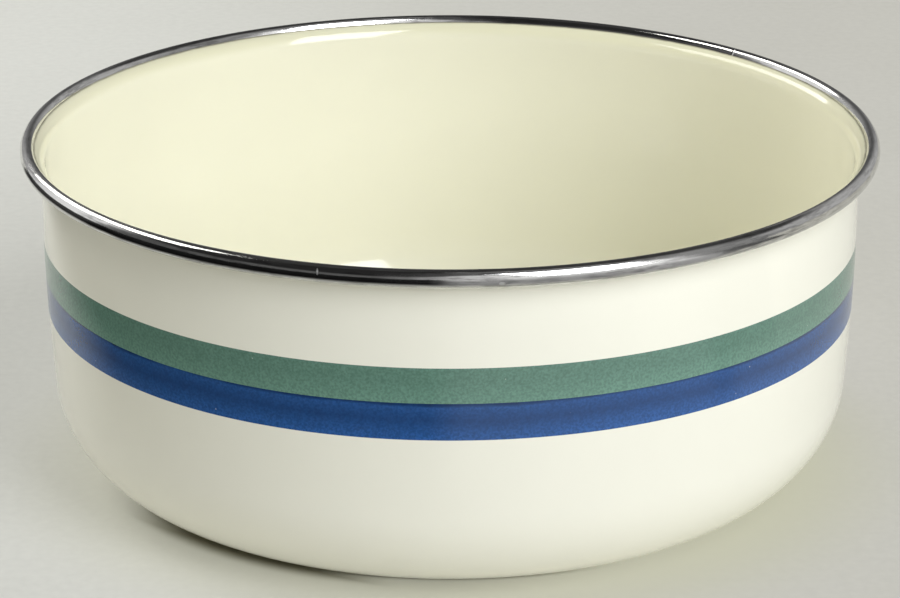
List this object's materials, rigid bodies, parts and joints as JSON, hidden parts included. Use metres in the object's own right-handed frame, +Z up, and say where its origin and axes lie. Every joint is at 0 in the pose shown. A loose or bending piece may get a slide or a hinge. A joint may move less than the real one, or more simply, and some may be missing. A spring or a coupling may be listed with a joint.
{
  "type": "enamelled metal bowl",
  "caption": "Deep round enamelled steel bowl with a near-upright wall, rounded corner, flat standing ring, colour bands round the outside and a bright rolled trim on its flared lip.",
  "frame": {"origin": "on the bowl's axis, on the surface that it stands on", "axes": "+Z up along the bowl's axis; +X to the right and +Y away from the picture's viewpoint"},
  "size_m": [0.24, 0.24, 0.0978],
  "materials": {
    "pressed_steel": "bare pressed low-carbon steel, hidden under the enamel",
    "cream_enamel_inside": "glossy cream vitreous enamel",
    "cream_enamel_outside": "glossy cream vitreous enamel",
    "green_enamel": "glossy fired green enamel with a fine speckle",
    "blue_enamel": "glossy fired blue enamel with a fine speckle",
    "bright_steel": "polished rolled stainless steel"
  },
  "bodies": {
    "root": {"steel_bowl": "pressed_steel", "inner_enamel": "cream_enamel_inside", "outer_enamel": "cream_enamel_outside", "green_band": "green_enamel", "blue_band": "blue_enamel", "rim_trim": "bright_steel"}
  },
  "joints": []
}
